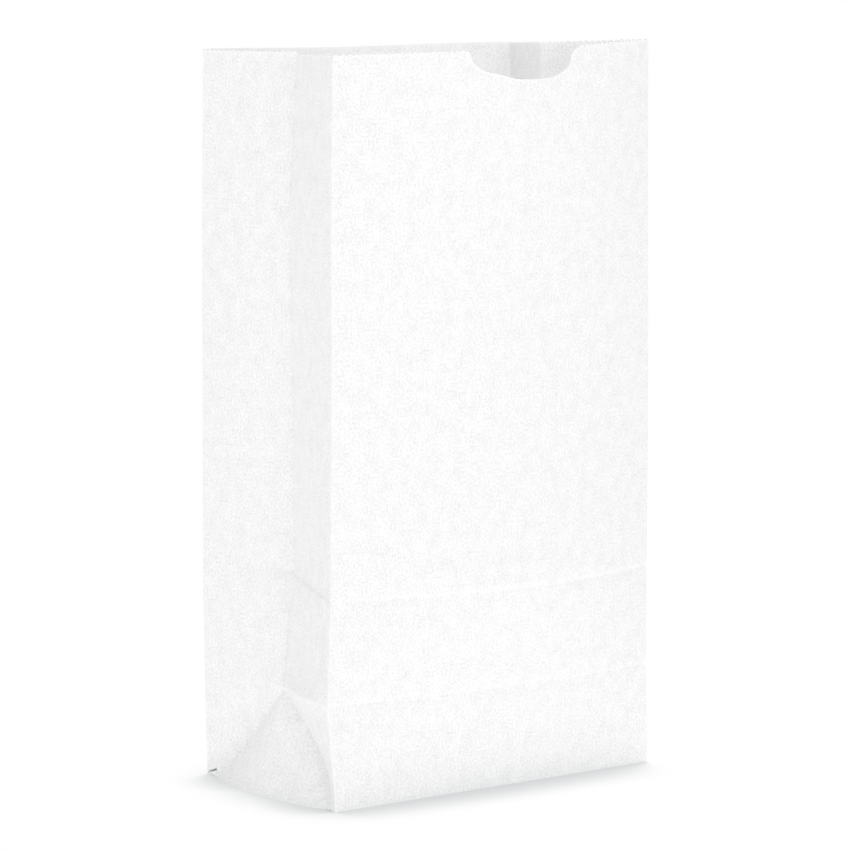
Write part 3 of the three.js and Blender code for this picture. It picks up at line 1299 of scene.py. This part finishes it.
@dataclass(frozen=True)
class PaperFinish:
    """White kraft paper: cloudy formation, fine grain, upright fibres and a few dark specks.

    Sizes are in millimetres on the flat sheet, and a stretch is how much longer a blotch is up the
    sheet than across it.
    """

    colour: tuple[float, float, float] = (0.93, 0.93, 0.925)
    # Near white, for the painted highlight along the cut edges.
    edge_highlight_colour: tuple[float, float, float] = (0.99, 0.99, 0.99)
    # How far the sharp folds are painted towards near white: a painted highlight, with some worn
    # fibres.
    fold_highlight_share: float = 0.5
    speck_colour: tuple[float, float, float] = (0.58, 0.57, 0.56)
    speck_spacing: float = 15.0
    speck_radius: float = 0.01
    speck_cutoff: float = 0.93
    cloud_size: float = 3.6
    cloud_stretch: float = 1.3
    cloud_depth: float = 0.14
    grain_size: float = 0.55
    grain_stretch: float = 1.2
    grain_depth: float = 0.36
    fibre_size: float = 0.5
    fibre_stretch: float = 6.0
    fibre_depth: float = 0.108
    fibre_relief: float = 0.7
    roughness: float = 0.82
    specular: float = 0.25
    bump: float = 0.22
    bump_height: float = 0.00004

    def noise_at(self, nodes: NodeTree, place: bpy.types.NodeSocket, size: float, stretch: float,
                 detail: float = 2.0) -> bpy.types.NodeSocket:
        """A noise over the flat sheet.

        Args:
            nodes: the material's nodes.
            place: the place on the sheet.
            size: the size of a blotch.
            stretch: how much longer a blotch is up the sheet than across it.
            detail: finer layers of noise.

        Returns:
            A value from 0 to 1.
        """
        scale = (1 / size, 1 / (size * stretch), 1)
        turned = nodes.add("ShaderNodeMapping", {"Vector": place, "Scale": scale})
        inputs = {"Vector": turned.outputs[0], "Scale": 1.0, "Detail": detail, "Roughness": 0.6}
        return nodes.add("ShaderNodeTexNoise", inputs, noise_dimensions="2D").outputs["Fac"]

    def specks(self, nodes: NodeTree, place: bpy.types.NodeSocket) -> bpy.types.NodeSocket:
        """A mask of the few dark specks.

        Args:
            nodes: the material's nodes.
            place: the place on the sheet.

        Returns:
            The mask, 1 on a speck.
        """
        inputs = {"Vector": place, "Scale": 1 / self.speck_spacing}
        cells = nodes.add("ShaderNodeTexVoronoi", inputs, voronoi_dimensions="2D")
        near = nodes.maths("LESS_THAN", cells.outputs["Distance"], self.speck_radius)
        chance = nodes.add("ShaderNodeSeparateColor", {0: cells.outputs["Color"]}).outputs[0]
        return nodes.maths("MULTIPLY", near, nodes.maths("GREATER_THAN", chance, self.speck_cutoff))

    def material(self) -> bpy.types.Material:
        """Builds the paper's material.

        Returns:
            The material, read from the sheet's own UV map and from the attributes that mark its
            painted highlights.
        """
        made = bpy.data.materials.new("white paper")
        nodes = NodeTree(made)
        uv = nodes.add("ShaderNodeUVMap", {}, uv_map="sheet").outputs[0]
        to_mm = {"Vector": uv, "Scale": (SHEET_MAP, SHEET_MAP, 1)}
        place = nodes.add("ShaderNodeMapping", to_mm).outputs[0]
        cloud = self.noise_at(nodes, place, self.cloud_size, self.cloud_stretch, 3.0)
        grain = self.noise_at(nodes, place, self.grain_size, self.grain_stretch)
        fibre = self.noise_at(nodes, place, self.fibre_size, self.fibre_stretch)
        depths = ((cloud, self.cloud_depth), (grain, self.grain_depth), (fibre, self.fibre_depth))
        tone: object = 1.0
        for pattern, depth in depths:
            part = nodes.maths("MULTIPLY", nodes.maths("SUBTRACT", pattern, 0.5), depth)
            tone = nodes.maths("ADD", part, tone)
        toned = {0: self.colour, "Scale": tone}
        paper = nodes.add("ShaderNodeVectorMath", toned, operation="SCALE").outputs[0]
        flecked = nodes.mix(self.specks(nodes, place), paper, (*self.speck_colour, 1))

        # The cut edges are mixed towards near white: a painted highlight.
        cut = nodes.add("ShaderNodeAttribute", {}, attribute_name="cut_edge_highlight").outputs["Fac"]
        # The sharp folds are painted paler at part strength: a painted highlight, with some worn
        # fibres.
        wear_and_highlight = nodes.add("ShaderNodeAttribute", {}, attribute_name="fold_highlight_and_wear").outputs["Fac"]
        pale = nodes.maths("MAXIMUM", cut, nodes.maths("MULTIPLY", wear_and_highlight, self.fold_highlight_share))
        edged = nodes.mix(pale, flecked, (*self.edge_highlight_colour, 1))

        relief = nodes.maths("ADD", grain, nodes.maths("MULTIPLY", fibre, self.fibre_relief))
        raised = {"Strength": self.bump, "Distance": self.bump_height, "Height": relief}
        bump = nodes.add("ShaderNodeBump", raised).outputs[0]
        surface = {
            "Base Color": edged,
            "Roughness": self.roughness,
            "Specular IOR Level": self.specular,
            "Normal": bump,
        }
        shader = nodes.add("ShaderNodeBsdfPrincipled", surface)
        nodes.add("ShaderNodeOutputMaterial", {"Surface": shader.outputs[0]})
        return made


@dataclass
class PaperBag:
    """The folded sheet with its finish, standing for the CAD model's bag."""

    form: BagForm
    finish: PaperFinish = field(default_factory=PaperFinish)
    name: str = "folded_bag"

    def build(self) -> bpy.types.Object:
        """Makes the bag and ties it to the frame.

        Returns:
            The bag's object.
        """
        piece = SheetMesh(self.form).build(self.name)
        piece.data.materials.append(self.finish.material())
        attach(piece, "root")
        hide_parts("bag")
        return piece


@dataclass(frozen=True)
class Lamp:
    """A soft lamp: its place and size in metres, and the light it throws on what faces it."""

    name: str
    place: tuple[float, float, float]
    size: tuple[float, float]
    level: float


@dataclass
class Studio:
    """The pale floor, the soft light and the camera.

    Lamps, the floor and its shadow are in metres. The camera's aim and distance are in millimetres,
    and its angles in degrees.
    """

    lamps: tuple[Lamp, ...] = (
        Lamp("front light", (-1.01, -2.5, 0.75), (1.4, 1.2), 0.2),
        Lamp("back light", (-1.6, 2.3, 0.55), (1.4, 0.9), 0.1),
    )
    room_light: float = 0.64
    room_colour: tuple[float, float, float] = (0.985, 0.995, 1.0)
    past_floor: tuple[float, float, float] = (0.8, 0.8, 0.8)
    floor_radius: float = 14.0
    glow_level: float = 0.028
    glow_place: tuple[float, float, float] = (0.0, -0.006, 0.15)
    glow_radius: float = 0.018
    lamp_aim: float = 0.1
    shadow_reach: float = 0.022
    shadow_tone: tuple[float, float, float] = (0.655, 0.662, 0.672)
    shadow_lean: tuple[float, float, float] = (0.54, 0.3, 0.75)
    shadow_range: tuple[float, float] = (0.3, 0.9)
    floor_light: float = 1.08

    focal_pixels: float = 4097.0
    frame_pixels: float = 850.0
    sensor: float = 36.0
    pitch: float = 7.387
    azimuth: float = -36.836
    aim_right: float = -1.024
    aim_up: float = 96.164
    distance: float = 1128.3

    def build_camera(self) -> None:
        """Places the camera where the photograph was taken."""
        turn, tilt = math.radians(self.azimuth), math.radians(self.pitch)
        level_back = Vector((math.sin(turn), -math.cos(turn), 0))
        back = level_back * math.cos(tilt) + Vector((0, 0, math.sin(tilt)))
        right = Vector((math.cos(turn), math.sin(turn), 0))
        aim = right * self.aim_right + Vector((0, 0, self.aim_up))
        data = bpy.data.cameras.new("camera")
        data.sensor_width = self.sensor
        data.lens = self.focal_pixels / self.frame_pixels * self.sensor
        camera = bpy.data.objects.new("camera", data)
        bpy.context.scene.collection.objects.link(camera)
        camera.location = (aim + back * self.distance) * MM
        camera.rotation_mode = "QUATERNION"
        camera.rotation_quaternion = (-back).to_track_quat("-Z", "Y")
        bpy.context.scene.camera = camera

    def build_floor(self) -> None:
        """Lays the floor, which the camera sees as white but for the shadow round the bag."""
        bpy.ops.object.select_all(action="DESELECT")
        bpy.ops.mesh.primitive_circle_add(vertices=96, radius=self.floor_radius, fill_type="NGON")
        floor = bpy.context.object
        floor.name = "studio_floor"
        made = bpy.data.materials.new("studio floor")
        nodes = NodeTree(made)
        lean = nodes.add("ShaderNodeCombineXYZ", dict(enumerate(self.shadow_lean))).outputs[0]
        near = {"Distance": self.shadow_reach, "Normal": lean}
        closed = nodes.add("ShaderNodeAmbientOcclusion", near, samples=12).outputs["AO"]
        ends = {"Value": closed, "From Min": self.shadow_range[0], "From Max": self.shadow_range[1]}
        share = nodes.add("ShaderNodeMapRange", ends, interpolation_type="SMOOTHSTEP")
        tone = nodes.mix(share.outputs["Result"], (*self.shadow_tone, 1), (1, 1, 1, 1))
        seen = nodes.add("ShaderNodeLightPath", {}).outputs["Is Camera Ray"]
        strength = nodes.maths("MULTIPLY_ADD", seen, 1 - self.floor_light, self.floor_light)
        shown = nodes.add("ShaderNodeEmission", {"Color": tone, "Strength": strength})
        nodes.add("ShaderNodeOutputMaterial", {"Surface": shown.outputs[0]})
        floor.data.materials.append(made)

    def build_world(self) -> None:
        """Fills the room with even light, plain grey where the camera looks past the floor."""
        world = bpy.data.worlds.new("studio")
        bpy.context.scene.world = world
        nodes = NodeTree(world)
        light = {"Color": (*self.room_colour, 1), "Strength": self.room_light}
        fill = nodes.add("ShaderNodeBackground", light).outputs[0]
        plain = nodes.add("ShaderNodeBackground", {"Color": (*self.past_floor, 1)}).outputs[0]
        seen = nodes.add("ShaderNodeLightPath", {}).outputs["Is Camera Ray"]
        pick = nodes.add("ShaderNodeMixShader", {0: seen, 1: fill, 2: plain})
        nodes.add("ShaderNodeOutputWorld", {"Surface": pick.outputs[0]})

    @staticmethod
    def hang(data: bpy.types.Light, place: Vector) -> bpy.types.Object:
        """Puts a lamp in the scene at its place.

        Args:
            data: the lamp's data.
            place: where it hangs, in metres.

        Returns:
            The lamp's object.
        """
        made = bpy.data.objects.new(data.name, data)
        bpy.context.scene.collection.objects.link(made)
        made.location = place
        return made

    def build_lamp(self, lamp: Lamp) -> None:
        """Hangs one soft lamp that faces the bag.

        Args:
            lamp: the lamp.
        """
        data = bpy.data.lights.new(lamp.name, "AREA")
        data.shape = "RECTANGLE"
        data.size, data.size_y = lamp.size
        toward = Vector((0, 0, self.lamp_aim)) - Vector(lamp.place)
        data.energy = lamp.level * math.pi**2 * toward.length_squared
        made = self.hang(data, Vector(lamp.place))
        made.rotation_mode = "QUATERNION"
        made.rotation_quaternion = toward.to_track_quat("-Z", "Y")

    def build_glow(self) -> None:
        """Puts a soft lamp inside the bag, for the light that thin white paper lets through."""
        data = bpy.data.lights.new("light through the paper", "POINT")
        data.shadow_soft_size = self.glow_radius
        data.energy = self.glow_level
        self.hang(data, Vector(self.glow_place)).visible_camera = False

    def build(self) -> None:
        """Builds the stage, the lamps and the camera."""
        self.build_floor()
        self.build_world()
        for lamp in self.lamps:
            self.build_lamp(lamp)
        self.build_glow()
        self.build_camera()
        bpy.context.scene.view_settings.view_transform = "Standard"


def bag_form() -> BagForm:
    """The form of this bag, with its sections from the base to the mouth.

    Returns:
        The form.
    """
    start = UPPER_CREASE + BagForm.crease_step
    run = BagForm.height - start
    flat = (0.0, 0.0, 0.0)
    foot = (flat, flat, flat, flat)
    low = ((-1.5, 1.5, 0), (-2, -1.5, 0), (-1, -2.5, 0), (-0.2, 0.6, 0))
    crease = ((0, 2, 0), (-2, -1.5, 0), (-1.5, -2.5, 0), (-0.9, 0.1, 0))
    above = ((0.2, 2.2, 0), *crease[1:])
    middle = ((1.0, 2.6, 0), (-1.5, -1, 0), (-2, -2, 0), (-0.6, 0.1, 0))
    upper = ((1.4, 3, 0), (-1.3, -0.3, 0.5), (-3.5, -3, -0.2), (0, 0.6, 0))
    mouth = ((2.6, 4, -0.5), (-0.6, 1, 1.65), (-6.5, -6, -0.75), (0.6, 0.5, -0.75))
    return BagForm(
        stations=[
            Station(0, *foot, -4, -4, 0, 0),
            Station(LOWER_CREASE, *low, 6.1, 5.5, 5.5, 5),
            Station(UPPER_CREASE, *crease, 8.8, 6, 9.5, 5.5),
            Station(start, *above, 9.8, 7, 9.5, 5.5),
            Station(start + 0.36 * run, *middle, 9, 7.5, 9.6, 7.5),
            Station(start + 0.68 * run, *upper, 8.2, 9.5, 10.2, 11.5),
            Station(BagForm.height, *mouth, 10.3, 15, 12.5, 16),
        ]
    )


def main() -> None:
    """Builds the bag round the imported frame, and the studio round the bag."""
    logging.basicConfig(level=logging.INFO, format="%(name)s: %(message)s")
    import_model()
    Studio().build()
    LOG.info("studio: floor, lamps and camera")
    piece = PaperBag(bag_form()).build()
    LOG.info("%s: %d faces", piece.name, len(piece.data.polygons))


if __name__ == "__main__":
    main()
